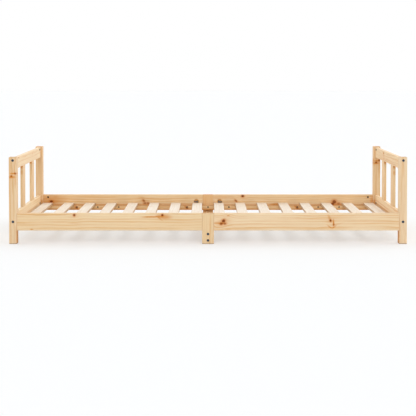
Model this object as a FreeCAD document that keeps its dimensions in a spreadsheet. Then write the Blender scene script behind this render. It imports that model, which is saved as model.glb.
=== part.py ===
import FreeCAD, Part
import Sketcher

import itertools
import os
import re

# A low solid-pine bed frame for a child, bolted together from straight timber.
# Two equal end frames (posts, two rails, two spindles) carry side rails made of two halves each,
# which meet at a wide centre leg. Ledger strips on the rails carry the slats.
# Millimetres; X runs along the bed with the head end at -X, Y across it with the front at -Y, Z up.
# The origin lies on the floor under the middle of the bed.

SIZES = {
    # Overall size and corner posts
    "bed_length": 2060,
    "bed_width": 855,
    "post_height": 450,
    "post_side": 41,
    "edge_round": 3,
    "foot_chamfer": 2,
    # Side rails, centre legs and the beam between the legs
    "rail_height": 90,
    "rail_thickness": 25,
    "rail_clearance": 70,
    "leg_width": 61,
    "beam_thickness": 25,
    "beam_floor_gap": 8,
    "beam_top_gap": 8,
    # End frames
    "end_rail_thickness": 18,
    "top_rail_height": 60,
    "top_rail_drop": 5,
    "spindle_width": 73,
    "spindle_thickness": 14,
    "tenon_length": 14,
    "tenon_thickness": 8,
    "tenon_shoulder": 6,
    "tenon_clearance": 0.1,
    "tenon_end_gap": 1,
    "board_round": 2,
    # Ledger strips and slats
    "ledger_height": 27,
    "ledger_depth": 20,
    "ledger_lift": 0.5,
    "ledger_end_gap": 1,
    "slat_width": 58,
    "slat_thickness": 14,
    "slat_end_gap": 2,
    "slat_side_gap": 1,
    # Socket bolts and barrel nuts
    "bolt_diameter": 6,
    "bolt_clearance": 0.5,
    "bolt_overrun": 8,
    "bolt_end_gap": 2,
    "head_diameter": 13,
    "head_height": 3.5,
    "head_sink": 0.5,
    "head_clearance": 0.5,
    "socket_across": 5,
    "socket_depth": 2.5,
    "nut_diameter": 11,
    "nut_length": 17,
    "nut_tail": 6,
    "nut_setback": 30,
    "nut_clearance": 0.1,
    "nut_slot_width": 1.6,
    "nut_slot_depth": 1.8,
    "side_bolt_drop": 15,
    "top_bolt_drop": 12,
    "beam_bolt_inset": 10.5,
    # Tie rods through the centre legs, with their washers and nuts
    "rod_diameter": 6,
    "rod_overrun": 15,
    "rod_chamfer": 1,
    "rod_rise": 2.5,
    "rod_inset": 6,
    "pocket_diameter": 32,
    "pocket_setback": 38.5,
    "pocket_floor_gap": 0.5,
    "washer_depth": 5,
    "washer_width": 11,
    "washer_height": 26,
    "washer_clearance": 0.1,
    "rod_nut_across": 10,
    "rod_nut_length": 10,
    # Dowels, slat pegs and ledger screws
    "dowel_diameter": 8,
    "dowel_length": 30,
    "dowel_chamfer": 1,
    "dowel_inset": 15,
    "dowel_clearance": 0.1,
    "dowel_end_gap": 1,
    "peg_length": 14,
    "peg_end_gap": 0.5,
    "screw_diameter": 4,
    "screw_length": 35,
    "screw_tip": 6,
    "screw_head_diameter": 9,
    "screw_head_height": 2.7,
    "screw_clearance": 0.1,
    "screw_end_gap": 1,
    "screw_slot_length": 4.8,
    "screw_slot_width": 1.2,
    "screw_slot_depth": 1.4,
    "screw_rise": 4,
    "screw_spacing": 125,
    "screw_margin": 20,
}

# Lengths and places that follow from the sizes. Places are distances from the origin.
PLACES = {
    "half_length": "bed_length / 2",
    "half_width": "bed_width / 2",
    "span": "bed_length - 2 * post_side",
    "post_x": "half_length - post_side / 2",
    "post_y": "half_width - post_side / 2",
    "rail_run": "(span - leg_width) / 2",
    "rail_x": "(span + leg_width) / 4",
    "rail_y": "half_width - rail_thickness / 2",
    "rail_z": "rail_clearance + rail_height / 2",
    "rail_top": "rail_clearance + rail_height",
    "rail_inner_y": "half_width - rail_thickness",
    "beam_run": "2 * rail_inner_y",
    "beam_height": "rail_clearance - beam_floor_gap - beam_top_gap",
    "beam_z": "beam_floor_gap + beam_height / 2",
    "beam_bolt_rise": "beam_height / 2 - beam_bolt_inset",
    "end_rail_run": "bed_width - 2 * post_side",
    "top_rail_top": "post_height - top_rail_drop",
    "top_rail_bottom": "top_rail_top - top_rail_height",
    "top_rail_z": "top_rail_top - top_rail_height / 2",
    "spindle_run": "top_rail_bottom - rail_top",
    "spindle_gap": "(end_rail_run - 2 * spindle_width) / 3",
    "spindle_y": "(spindle_gap + spindle_width) / 2",
    "spindle_z": "(top_rail_bottom + rail_top) / 2",
    "tenon_width": "spindle_width - 2 * tenon_shoulder",
    "ledger_run": "(span - 2 * ledger_end_gap) / 3",
    "ledger_y": "rail_inner_y - ledger_depth / 2",
    "ledger_z": "rail_clearance + ledger_lift + ledger_height / 2",
    "ledger_top": "rail_clearance + ledger_lift + ledger_height",
    "screw_z": "ledger_z + screw_rise",
    "slat_length": "2 * (rail_inner_y - slat_end_gap)",
    "slat_row": "span - 2 * slat_side_gap - slat_width",
    "slat_z": "ledger_top + slat_thickness / 2",
    "bolt_bore": "bolt_diameter + 2 * bolt_clearance",
    "head_bore": "head_diameter + 2 * head_clearance",
    "head_seat": "head_height + head_sink",
    "bolt_depth": "nut_setback + bolt_overrun + bolt_end_gap",
    "nut_bore": "nut_diameter + 2 * nut_clearance",
    "nut_reach": "nut_length - nut_tail",
    "side_bolt_z": "rail_top - side_bolt_drop",
    "top_bolt_z": "top_rail_top - top_bolt_drop",
    "dowel_bore": "dowel_diameter + 2 * dowel_clearance",
    "dowel_depth": "dowel_length / 2 + dowel_end_gap",
    "dowel_rise": "rail_height / 2 - dowel_inset",
    "peg_depth": "peg_length / 2 + peg_end_gap",
    "rod_y": "rail_inner_y + rod_inset",
    "rod_z": "rail_z + rod_rise",
    "rod_bore": "rod_diameter + 2 * bolt_clearance",
    "pocket_x": "leg_width / 2 + pocket_setback",
    "pocket_depth": "rod_inset + washer_width / 2 + pocket_floor_gap",
    "screw_bore": "screw_diameter + 2 * screw_clearance",
    "screw_reach": "screw_length - ledger_depth + screw_end_gap",
}

SLAT_COUNT = 16
SIDES = (-1, 1)
SIDE_NAMES = {-1: "left", 1: "right"}
DEPTH_NAMES = {-1: "front", 1: "back"}
END_NAMES = {-1: "headboard", 1: "footboard"}
STRIP_NAMES = {-1: "left", 0: "middle", 1: "right"}

# The sketch plane across each grain direction, with the two axes that it spans.
SECTIONS = {"x": ("YZ_Plane", "y", "z"), "y": ("XZ_Plane", "x", "z"), "z": ("XY_Plane", "x", "y")}

# Turns that point a piece made along +Z in another direction.
TURNS = {
    "+x": FreeCAD.Rotation(FreeCAD.Vector(0, 1, 0), 90),
    "-x": FreeCAD.Rotation(FreeCAD.Vector(0, 1, 0), -90),
    "+y": FreeCAD.Rotation(FreeCAD.Vector(1, 0, 0), -90),
    "-y": FreeCAD.Rotation(FreeCAD.Vector(1, 0, 0), 90),
    "+z": FreeCAD.Rotation(),
    "-z": FreeCAD.Rotation(FreeCAD.Vector(1, 0, 0), 180),
}
QUARTER_TURN = FreeCAD.Rotation(FreeCAD.Vector(0, 0, 1), 90)
HALF_TURN = FreeCAD.Rotation(FreeCAD.Vector(0, 0, 1), 180)

doc = FreeCAD.newDocument("kids_bed")
nodes = []


def fill_sheet():
    """Write each size to a cell of the spreadsheet under its own alias."""
    sheet = doc.addObject("Spreadsheet::Sheet", "Dims")
    for row, (alias, size) in enumerate(SIZES.items(), start=1):
        sheet.set(f"A{row}", alias)
        sheet.set(f"B{row}", str(size))
        sheet.setAlias(f"B{row}", alias)
    doc.recompute()


def expression(formula):
    """Spell a formula of size and place names as an expression on the spreadsheet."""
    def spell(match):
        name = match.group(0)
        if name in PLACES:
            return f"({expression(PLACES[name])})"
        if name in SIZES:
            return f"Dims.{name}"
        return name
    return re.sub(r"[a-z_]+", spell, formula)


def bind(target, **formulas):
    """Bind properties of an object to formulas."""
    for name, formula in formulas.items():
        target.setExpression(name, expression(formula))


def place(target, spot):
    """Bind an object's position to three formulas."""
    for axis, formula in zip("xyz", spot):
        target.setExpression(f"Placement.Base.{axis}", expression(formula))


def turn(target, rotation):
    """Turn an object about its own origin."""
    target.Placement = FreeCAD.Placement(FreeCAD.Vector(), rotation)


def signed(side, formula):
    """A formula on the negative or positive side of the origin."""
    return f"{side} * ({formula})"


def heading(side, axis):
    """The name of a direction along an axis."""
    return ("+" if side > 0 else "-") + axis


def new_body(name):
    """An empty body and its origin planes by name."""
    body = doc.addObject("PartDesign::Body", name)
    body.Label = name
    planes = {feature.Role: feature for feature in body.Origin.OriginFeatures}
    return body, planes


def new_sketch(body, plane):
    """An empty sketch on one of the body's own origin planes."""
    sketch = body.newObject("Sketcher::SketchObject", f"{body.Name}_sketch")
    sketch.AttachmentSupport = (plane, [""])
    sketch.MapMode = "FlatFace"
    return sketch


def closed_loop(sketch, count):
    """Draw a closed loop of straight lines, whose corners the constraints then place."""
    corners = [FreeCAD.Vector(1 + number, 1 + number * number, 0) for number in range(count)]
    for number in range(count):
        line = Part.LineSegment(corners[number], corners[(number + 1) % count])
        sketch.addGeometry(line, False)
    for number in range(count):
        sketch.addConstraint(Sketcher.Constraint("Coincident", number, 2, (number + 1) % count, 1))


def corner_at(sketch, corner, across, up):
    """Set a corner of the loop at two formulas from the sketch's origin, or on an axis for 0."""
    for kind, axis, formula in (("DistanceX", -2, across), ("DistanceY", -1, up)):
        if formula == "0":
            sketch.addConstraint(Sketcher.Constraint("PointOnObject", corner, 1, axis))
            continue
        index = sketch.addConstraint(Sketcher.Constraint(kind, -1, 1, corner, 1, 1.0))
        sketch.setExpression(f"Constraints[{index}]", expression(formula))


def rectangle(sketch, across, up):
    """A rectangle centred on the sketch's origin."""
    corners = [FreeCAD.Vector(x, y, 0) for x, y in ((-1, -1), (1, -1), (1, 1), (-1, 1))]
    for number in range(4):
        sketch.addGeometry(Part.LineSegment(corners[number], corners[(number + 1) % 4]), False)
    for number in range(4):
        sketch.addConstraint(Sketcher.Constraint("Coincident", number, 2, (number + 1) % 4, 1))
        level = "Horizontal" if number % 2 == 0 else "Vertical"
        sketch.addConstraint(Sketcher.Constraint(level, number))
    sketch.addConstraint(Sketcher.Constraint("Symmetric", 0, 1, 2, 1, -1, 1))
    width = sketch.addConstraint(Sketcher.Constraint("DistanceX", 0, 1, 0, 2, 2.0))
    height = sketch.addConstraint(Sketcher.Constraint("DistanceY", 1, 1, 1, 2, 2.0))
    sketch.setExpression(f"Constraints[{width}]", expression(across))
    sketch.setExpression(f"Constraints[{height}]", expression(up))


def timber(label, grain, size, spot):
    """A bar of timber centred on its spot: its section, padded along the grain."""
    body, planes = new_body(label)
    plane, across, up = SECTIONS[grain]
    length_along = dict(zip("xyz", size))
    sketch = new_sketch(body, planes[plane])
    rectangle(sketch, length_along[across], length_along[up])
    bar = body.newObject("PartDesign::Pad", f"{label}_bar")
    bar.Profile = sketch
    bar.SideType = "Symmetric"
    bind(bar, Length=length_along[grain])
    place(body, spot)
    doc.recompute()
    nodes.append(body)
    return body


def dress(body, kind, size_name, formula, wanted):
    """Round or chamfer those edges of the body's last feature that are wanted."""
    base = body.Tip
    edges = base.Shape.Edges
    names = [f"Edge{number}" for number, edge in enumerate(edges, start=1) if wanted(edge)]
    feature = body.newObject(f"PartDesign::{kind}", f"{body.Name}_{kind.lower()}")
    feature.Base = (base, names)
    bind(feature, **{size_name: formula})
    doc.recompute()


def runs_along(edge, axis):
    """True for a straight edge along an axis."""
    return abs(getattr(edge.tangentAt(edge.FirstParameter), axis)) > 0.99


def lies_at(edge, axis, level):
    """True for an edge whose ends are both at a level along an axis, to a micrometre."""
    return all(abs(getattr(vertex.Point, axis) - level) < 0.001 for vertex in edge.Vertexes)


def round_along(body, grain, radius):
    """Round the four long edges of a bar."""
    dress(body, "Fillet", "Radius", radius, lambda edge: runs_along(edge, grain))


def round_upright(body):
    """Round an upright's long edges and its top, and ease its foot with a chamfer."""
    box = body.Tip.Shape.BoundBox
    dress(body, "Fillet", "Radius", "edge_round",
          lambda edge: runs_along(edge, "z") or lies_at(edge, "z", box.ZMax))
    dress(body, "Chamfer", "Size", "foot_chamfer", lambda edge: lies_at(edge, "z", box.ZMin))


def drill(body, direction, diameter, depth, start):
    """A round hole from a start point, in the body's own frame."""
    hole = body.newObject("PartDesign::SubtractiveCylinder", f"{body.Name}_hole")
    turn(hole, TURNS[direction])
    bind(hole, Radius=f"({diameter}) / 2", Height=depth)
    place(hole, start)


def bolt_hole(body, direction, depth, start):
    """A bolt's clearance hole through a piece, with the seat of its sunk head."""
    drill(body, direction, "bolt_bore", depth, start)
    drill(body, direction, "head_bore", "head_seat", start)


def box_feature(body, kind, size, middle):
    """A box added to or cut from a body, centred on a point of the body's own frame."""
    box = body.newObject(f"PartDesign::{kind}Box", f"{body.Name}_{kind.lower()}")
    bind(box, Length=size[0], Width=size[1], Height=size[2])
    place(box, [f"{centre} - ({length}) / 2" for centre, length in zip(middle, size)])


def turned(name, outline):
    """A piece turned about Z from half its outline: (radius, height) corners, both ends on the axis."""
    body, planes = new_body(name)
    sketch = new_sketch(body, planes["XZ_Plane"])
    closed_loop(sketch, len(outline))
    for corner, (radius, height) in enumerate(outline):
        corner_at(sketch, corner, radius, height)
    spin = body.newObject("PartDesign::Revolution", f"{name}_turned")
    spin.Profile = sketch
    spin.ReferenceAxis = (sketch, ["V_Axis"])
    spin.Angle = 360
    doc.recompute()
    return body


def chamfered_pin(name, diameter, length, chamfer):
    """A round pin with both ends chamfered."""
    radius = f"({diameter}) / 2"
    return turned(name, [
        ("0", "0"),
        (f"{radius} - {chamfer}", "0"),
        (radius, chamfer),
        (radius, f"{length} - {chamfer}"),
        (f"{radius} - {chamfer}", length),
        ("0", length),
    ])


def group(label, fastener, spots):
    """Copies of one fastener as a node of separate solids. A spot is a rotation and a position."""
    copies = []
    for rotation, spot in spots:
        copy = doc.addObject("App::Link", f"{label}_copy")
        copy.LinkedObject = fastener
        turn(copy, rotation)
        place(copy, spot)
        copies.append(copy)
    bundle = doc.addObject("Part::Compound", label)
    bundle.Label = label
    bundle.Links = copies
    nodes.append(bundle)


def slat_x(number):
    """The place along the bed of a slat, counted from 0 at the head end."""
    return f"slat_row * {number} / {SLAT_COUNT - 1} - slat_row / 2"


def strip_screws():
    """The places of a ledger strip's screws along it, from its middle."""
    end_place = "ledger_run / 2 - screw_margin"
    return ["0", "screw_spacing", "-screw_spacing", end_place, f"-({end_place})"]


def make_post(side, depth):
    """A corner post, bored for the bolts and dowels of both rails that meet it."""
    body = timber(f"post_{DEPTH_NAMES[depth]}_{SIDE_NAMES[side]}", "z",
                  ("post_side", "post_side", "post_height"),
                  (signed(side, "post_x"), signed(depth, "post_y"), "post_height / 2"))
    round_upright(body)
    outer_x = signed(side, "post_side / 2")
    outer_y = signed(depth, "post_side / 2")
    rail_line = signed(depth, "rail_y - post_y")
    for level in ("top_bolt_z", "rail_z"):
        bolt_hole(body, heading(-depth, "y"), "post_side", ("0", outer_y, f"{level} - post_height / 2"))
    bolt_hole(body, heading(-side, "x"), "post_side",
              (outer_x, rail_line, "side_bolt_z - post_height / 2"))
    drill(body, heading(side, "x"), "dowel_bore", "dowel_depth",
          (f"-({outer_x})", rail_line, "rail_z - dowel_rise - post_height / 2"))
    for level in ("top_rail_bottom + dowel_inset", "rail_z - dowel_rise", "rail_z + dowel_rise"):
        drill(body, heading(depth, "y"), "dowel_bore", "dowel_depth",
              ("0", f"-({outer_y})", f"{level} - post_height / 2"))


def make_side_rail(side, depth):
    """Half a side rail, bored at its post end, its centre end and along its ledger."""
    body = timber(f"side_rail_{DEPTH_NAMES[depth]}_{SIDE_NAMES[side]}", "x",
                  ("rail_run", "rail_thickness", "rail_height"),
                  (signed(side, "rail_x"), signed(depth, "rail_y"), "rail_z"))
    round_along(body, "x", "edge_round")
    post_end = signed(side, "rail_run / 2")
    leg_end = signed(-side, "rail_run / 2")
    inner_y = signed(-depth, "rail_thickness / 2")
    inward = heading(depth, "y")
    bolt_level = "side_bolt_z - rail_z"
    drill(body, heading(-side, "x"), "bolt_bore", "bolt_depth", (post_end, "0", bolt_level))
    drill(body, inward, "nut_bore", "rail_thickness / 2 + nut_tail",
          (signed(side, "rail_run / 2 - nut_setback"), inner_y, bolt_level))
    drill(body, heading(-side, "x"), "dowel_bore", "dowel_depth", (post_end, "0", "-dowel_rise"))
    for level in ("dowel_rise", "-dowel_rise"):
        drill(body, heading(side, "x"), "dowel_bore", "dowel_depth", (leg_end, "0", level))
    drill(body, heading(side, "x"), "rod_bore", "pocket_setback",
          (leg_end, signed(depth, "rod_y - rail_y"), "rod_rise"))
    drill(body, inward, "pocket_diameter", "pocket_depth",
          (signed(-side, "rail_run / 2 - pocket_setback"), inner_y, "rod_rise"))
    outer_strip = [f"{side} * ledger_run + {spot}" for spot in strip_screws()]
    middle_strip = [signed(side, "screw_spacing"), signed(side, "ledger_run / 2 - screw_margin")]
    for spot in outer_strip + middle_strip:
        drill(body, inward, "screw_bore", "screw_reach",
              (f"{spot} - {side} * rail_x", inner_y, "screw_z - rail_z"))


def make_centre_leg(depth):
    """A centre leg, bored for the tie rod, dowels, beam bolts and its ledger screw."""
    body = timber(f"centre_leg_{DEPTH_NAMES[depth]}", "z", ("leg_width", "rail_thickness", "rail_top"),
                  ("0", signed(depth, "rail_y"), "rail_top / 2"))
    round_upright(body)
    drill(body, "+x", "rod_bore", "leg_width",
          ("-leg_width / 2", signed(depth, "rod_y - rail_y"), "rod_z - rail_top / 2"))
    for side, level in itertools.product(SIDES, ("rail_z + dowel_rise", "rail_z - dowel_rise")):
        drill(body, heading(-side, "x"), "dowel_bore", "dowel_depth",
              (signed(side, "leg_width / 2"), "0", f"{level} - rail_top / 2"))
    for level in ("beam_z + beam_bolt_rise", "beam_z - beam_bolt_rise"):
        bolt_hole(body, heading(-depth, "y"), "rail_thickness",
                  ("0", signed(depth, "rail_thickness / 2"), f"{level} - rail_top / 2"))
    drill(body, heading(depth, "y"), "screw_bore", "screw_reach",
          ("0", signed(-depth, "rail_thickness / 2"), "screw_z - rail_top / 2"))


def make_cross_beam():
    """The beam that ties the two centre legs together, with two bolts and barrel nuts at each end."""
    body = timber("centre_cross_beam", "y", ("beam_thickness", "beam_run", "beam_height"),
                  ("0", "0", "beam_z"))
    round_along(body, "y", "board_round")
    for depth, level in itertools.product(SIDES, ("beam_bolt_rise", "-beam_bolt_rise")):
        drill(body, heading(-depth, "y"), "bolt_bore", "bolt_depth",
              ("0", signed(depth, "beam_run / 2"), level))
        drill(body, "+x", "nut_bore", "beam_thickness / 2 + nut_tail",
              ("-beam_thickness / 2", signed(depth, "beam_run / 2 - nut_setback"), level))


def make_end_rail(side, name, height, centre_z, bolt_level, dowel_levels, mortise_face):
    """A rail of an end frame, with bolts and dowels at its ends and mortises for the spindles."""
    body = timber(f"{END_NAMES[side]}_{name}", "y", ("end_rail_thickness", "end_rail_run", height),
                  (signed(side, "post_x"), "0", centre_z))
    round_along(body, "y", "board_round")
    inner_x = signed(-side, "end_rail_thickness / 2")
    for depth in SIDES:
        rail_end = signed(depth, "end_rail_run / 2")
        drill(body, heading(-depth, "y"), "bolt_bore", "bolt_depth", ("0", rail_end, bolt_level))
        drill(body, heading(side, "x"), "nut_bore", "end_rail_thickness / 2 + nut_tail",
              (inner_x, signed(depth, "end_rail_run / 2 - nut_setback"), bolt_level))
        for level in dowel_levels:
            drill(body, heading(-depth, "y"), "dowel_bore", "dowel_depth", ("0", rail_end, level))
        mortise_depth = "tenon_length + tenon_end_gap"
        mortise = ("tenon_thickness + 2 * tenon_clearance", "tenon_width + 2 * tenon_clearance",
                   mortise_depth)
        middle_z = signed(mortise_face, f"({height}) / 2 - ({mortise_depth}) / 2")
        box_feature(body, "Subtractive", mortise, ("0", signed(depth, "spindle_y"), middle_z))


def make_spindle(side, depth):
    """An upright board of an end frame, with a tenon at each end."""
    body = timber(f"{END_NAMES[side]}_spindle_{DEPTH_NAMES[depth]}", "z",
                  ("spindle_thickness", "spindle_width", "spindle_run"),
                  (signed(side, "post_x"), signed(depth, "spindle_y"), "spindle_z"))
    round_along(body, "z", "board_round")
    for end in SIDES:
        box_feature(body, "Additive", ("tenon_thickness", "tenon_width", "tenon_length"),
                    ("0", "0", signed(end, "(spindle_run + tenon_length) / 2")))


def make_ledger(depth, strip):
    """A strip on a rail's inner face, with sunk screws and a row of peg holes under the slats."""
    body = timber(f"slat_ledger_{DEPTH_NAMES[depth]}_{STRIP_NAMES[strip]}", "x",
                  ("ledger_run", "ledger_depth", "ledger_height"),
                  (f"{strip} * ledger_run", signed(depth, "ledger_y"), "ledger_z"))
    box = body.Tip.Shape.BoundBox
    inner_level = box.YMax if depth < 0 else box.YMin
    dress(body, "Fillet", "Radius", "board_round",
          lambda edge: runs_along(edge, "x") and lies_at(edge, "y", inner_level))
    inner_y = signed(-depth, "ledger_depth / 2")
    for spot in strip_screws():
        drill(body, heading(depth, "y"), "screw_bore", "ledger_depth", (spot, inner_y, "screw_rise"))
        sink = body.newObject("PartDesign::SubtractiveCone", f"{body.Name}_countersink")
        turn(sink, TURNS[heading(depth, "y")])
        bind(sink, Radius1="screw_head_diameter / 2 + screw_clearance", Radius2="screw_bore / 2",
             Height="screw_head_height")
        place(sink, (spot, inner_y, "screw_rise"))
    for number in range(SLAT_COUNT):
        if slat_strip(number) == strip:
            drill(body, "-z", "dowel_bore", "peg_depth",
                  (f"{slat_x(number)} - {strip} * ledger_run", "0", "ledger_height / 2"))


def slat_strip(number):
    """Which ledger strip carries a slat: a third of the bed's length each."""
    offset = 2 * number - (SLAT_COUNT - 1)
    if 3 * abs(offset) <= SLAT_COUNT - 1:
        return 0
    return 1 if offset > 0 else -1


def make_slat(number):
    """A bed slat across the ledgers, with a blind peg hole under each end."""
    body = timber(f"slat_{number + 1:02d}", "y", ("slat_width", "slat_length", "slat_thickness"),
                  (slat_x(number), "0", "slat_z"))
    round_along(body, "y", "board_round")
    for depth in SIDES:
        drill(body, "+z", "dowel_bore", "peg_depth",
              ("0", signed(depth, "ledger_y"), "-slat_thickness / 2"))


def make_bolt(name, grip):
    """A low-headed bolt with a hexagon socket, whose head face is at its own origin."""
    reach = f"{grip} - head_sink + nut_setback + bolt_overrun"
    body = turned(name, [
        ("0", "0"),
        ("head_diameter / 2", "0"),
        ("head_diameter / 2", "head_height"),
        ("bolt_diameter / 2", "head_height"),
        ("bolt_diameter / 2", reach),
        ("0", reach),
    ])
    socket = body.newObject("PartDesign::SubtractivePrism", f"{name}_socket")
    socket.Polygon = 6
    bind(socket, Circumradius="socket_across / sqrt(3)", Height="socket_depth")
    return body


def make_barrel_nut():
    """A cross dowel nut along Z, with its cross hole along Y and a slot in the end at its origin."""
    body, _ = new_body("barrel_nut")
    barrel = body.newObject("PartDesign::AdditiveCylinder", "barrel")
    bind(barrel, Radius="nut_diameter / 2", Height="nut_length")
    doc.recompute()
    drill(body, "+y", "bolt_diameter + 2 * nut_clearance", "nut_diameter",
          ("0", "-nut_diameter / 2", "nut_reach"))
    box_feature(body, "Subtractive", ("nut_diameter", "nut_slot_width", "nut_slot_depth"),
                ("0", "0", "nut_slot_depth / 2"))
    return body


def make_rod_nut():
    """A long hexagon nut along Z, with two of its flats facing along Y."""
    body, _ = new_body("rod_nut")
    hexagon = body.newObject("PartDesign::AdditivePrism", "hexagon")
    hexagon.Polygon = 6
    bind(hexagon, Circumradius="rod_nut_across / sqrt(3)", Height="rod_nut_length")
    doc.recompute()
    drill(body, "+z", "rod_diameter + 2 * nut_clearance", "rod_nut_length", ("0", "0", "0"))
    return body


def make_half_moon():
    """A washer with a round back that fits the pocket's wall, about the pocket's middle."""
    disc = doc.addObject("Part::Cylinder", "half_moon_disc")
    turn(disc, TURNS["+y"])
    bind(disc, Radius="pocket_diameter / 2 - washer_clearance", Height="washer_width")
    place(disc, ("0", "-washer_width / 2", "0"))
    block = doc.addObject("Part::Box", "half_moon_block")
    bind(block, Length="washer_depth", Width="washer_width", Height="washer_height")
    place(block, ("-pocket_diameter / 2", "-washer_width / 2", "-washer_height / 2"))
    blank = doc.addObject("Part::Common", "half_moon_blank")
    blank.Base = disc
    blank.Tool = block
    hole = doc.addObject("Part::Cylinder", "half_moon_hole")
    turn(hole, TURNS["-x"])
    bind(hole, Radius="rod_diameter / 2 + nut_clearance", Height="pocket_diameter / 2")
    washer = doc.addObject("Part::Cut", "half_moon")
    washer.Base = blank
    washer.Tool = hole
    return washer


def make_ledger_screw():
    """A countersunk wood screw along Z with a crossed drive, whose head face is at its own origin."""
    body = turned("ledger_screw", [
        ("0", "0"),
        ("screw_head_diameter / 2", "0"),
        ("screw_diameter / 2", "screw_head_height"),
        ("screw_diameter / 2", "screw_length - screw_tip"),
        ("0", "screw_length"),
    ])
    arm = ("screw_slot_length", "screw_slot_width")
    for length, width in (arm, reversed(arm)):
        box_feature(body, "Subtractive", (length, width, "screw_slot_depth"),
                    ("0", "0", "screw_slot_depth / 2"))
    return body


def join_end_frames():
    """Bolts, barrel nuts and dowels between the posts and the rails of the end frames."""
    bolt_levels = ("top_bolt_z", "rail_z")
    dowel_levels = ("top_rail_bottom + dowel_inset", "rail_z - dowel_rise", "rail_z + dowel_rise")
    bolts = []
    nuts = []
    dowels = []
    for side, depth in itertools.product(SIDES, SIDES):
        post_line = signed(side, "post_x")
        for level in bolt_levels:
            bolts.append((TURNS[heading(-depth, "y")],
                          (post_line, signed(depth, "half_width - head_sink"), level)))
            nuts.append((TURNS[heading(side, "x")],
                         (signed(side, "post_x - nut_reach"),
                          signed(depth, "end_rail_run / 2 - nut_setback"), level)))
        for level in dowel_levels:
            dowels.append((TURNS[heading(depth, "y")],
                           (post_line, signed(depth, "(end_rail_run - dowel_length) / 2"), level)))
    group("end_rail_bolts", post_bolt, bolts)
    group("end_rail_barrel_nuts", barrel_nut, nuts)
    group("end_rail_dowels", dowel, dowels)


def join_side_rails():
    """Bolts, barrel nuts and dowels between the posts and the side rails."""
    bolts = []
    nuts = []
    dowels = []
    for side, depth in itertools.product(SIDES, SIDES):
        rail_line = signed(depth, "rail_y")
        bolts.append((TURNS[heading(-side, "x")],
                      (signed(side, "half_length - head_sink"), rail_line, "side_bolt_z")))
        nuts.append((TURNS[heading(depth, "y")] * QUARTER_TURN,
                     (signed(side, "span / 2 - nut_setback"),
                      signed(depth, "rail_y - nut_reach"), "side_bolt_z")))
        dowels.append((TURNS[heading(side, "x")],
                       (signed(side, "(span - dowel_length) / 2"), rail_line, "rail_z - dowel_rise")))
    group("side_rail_bolts", post_bolt, bolts)
    group("side_rail_barrel_nuts", barrel_nut, nuts)
    group("corner_dowels", dowel, dowels)


def join_centre_legs():
    """Tie rods, washers, nuts and dowels at the centre legs, and the bolts of the cross beam."""
    rods = []
    washers = []
    rod_nuts = []
    dowels = []
    bolts = []
    beam_nuts = []
    for depth in SIDES:
        rail_line = signed(depth, "rail_y")
        rod_line = signed(depth, "rod_y")
        rods.append((TURNS["+x"], ("-(pocket_x + rod_overrun)", rod_line, "rod_z")))
        for side in SIDES:
            washers.append((FreeCAD.Rotation() if side > 0 else HALF_TURN,
                            (signed(side, "pocket_x"), rod_line, "rod_z")))
            rod_nuts.append((TURNS[heading(side, "x")],
                             (signed(side, "pocket_x - pocket_diameter / 2 + washer_depth"),
                              rod_line, "rod_z")))
            for level in ("rail_z + dowel_rise", "rail_z - dowel_rise"):
                dowels.append((TURNS[heading(side, "x")],
                               (signed(side, "(leg_width - dowel_length) / 2"), rail_line, level)))
        for level in ("beam_z + beam_bolt_rise", "beam_z - beam_bolt_rise"):
            bolts.append((TURNS[heading(-depth, "y")],
                          ("0", signed(depth, "half_width - head_sink"), level)))
            beam_nuts.append((TURNS["+x"],
                              ("-nut_reach", signed(depth, "beam_run / 2 - nut_setback"), level)))
    rod = chamfered_pin("tie_rod", "rod_diameter", "2 * (pocket_x + rod_overrun)", "rod_chamfer")
    group("centre_tie_rods", rod, rods)
    group("half_moon_washers", make_half_moon(), washers)
    group("tie_rod_nuts", make_rod_nut(), rod_nuts)
    group("centre_dowels", dowel, dowels)
    group("centre_leg_bolts", make_bolt("leg_bolt", "rail_thickness"), bolts)
    group("cross_beam_barrel_nuts", barrel_nut, beam_nuts)


def join_ledgers_and_slats():
    """Screws that hold the ledgers to the rails and legs, and pegs that locate the slats."""
    screws = []
    pegs = []
    for depth in SIDES:
        for strip, spot in itertools.product(STRIP_NAMES, strip_screws()):
            screws.append((TURNS[heading(depth, "y")],
                           (f"{strip} * ledger_run + {spot}",
                            signed(depth, "rail_inner_y - ledger_depth"), "screw_z")))
        for number in range(SLAT_COUNT):
            pegs.append((TURNS["+z"],
                         (slat_x(number), signed(depth, "ledger_y"), "ledger_top - peg_length / 2")))
    group("ledger_screws", make_ledger_screw(), screws)
    group("slat_pegs", chamfered_pin("slat_peg", "dowel_diameter", "peg_length", "dowel_chamfer"), pegs)


def check_document():
    """Stop at a failed object, a bad shape or a cut that removed nothing."""
    doc.recompute()
    for feature in doc.Objects:
        if "Invalid" in feature.State or "Error" in feature.State:
            raise RuntimeError(f"{feature.Name} failed: {feature.State}")
        if feature.TypeId.startswith("PartDesign::Subtractive"):
            if feature.Shape.Volume > feature.BaseFeature.Shape.Volume - 0.1:
                raise RuntimeError(f"{feature.Name} removed nothing")
    for node in nodes:
        if node.Shape.isNull() or not node.Shape.isValid():
            raise RuntimeError(f"{node.Label} has a bad shape")


fill_sheet()
for left_right, front_back in itertools.product(SIDES, SIDES):
    make_post(left_right, front_back)
    make_side_rail(left_right, front_back)
    make_spindle(left_right, front_back)
for end_side in SIDES:
    make_end_rail(end_side, "top_rail", "top_rail_height", "top_rail_z", "top_bolt_z - top_rail_z",
                  ["dowel_inset - top_rail_height / 2"], mortise_face=-1)
    make_end_rail(end_side, "lower_rail", "rail_height", "rail_z", "0",
                  ["dowel_rise", "-dowel_rise"], mortise_face=1)
for front_back in SIDES:
    make_centre_leg(front_back)
    for third in STRIP_NAMES:
        make_ledger(front_back, third)
make_cross_beam()
for slat_number in range(SLAT_COUNT):
    make_slat(slat_number)

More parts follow.
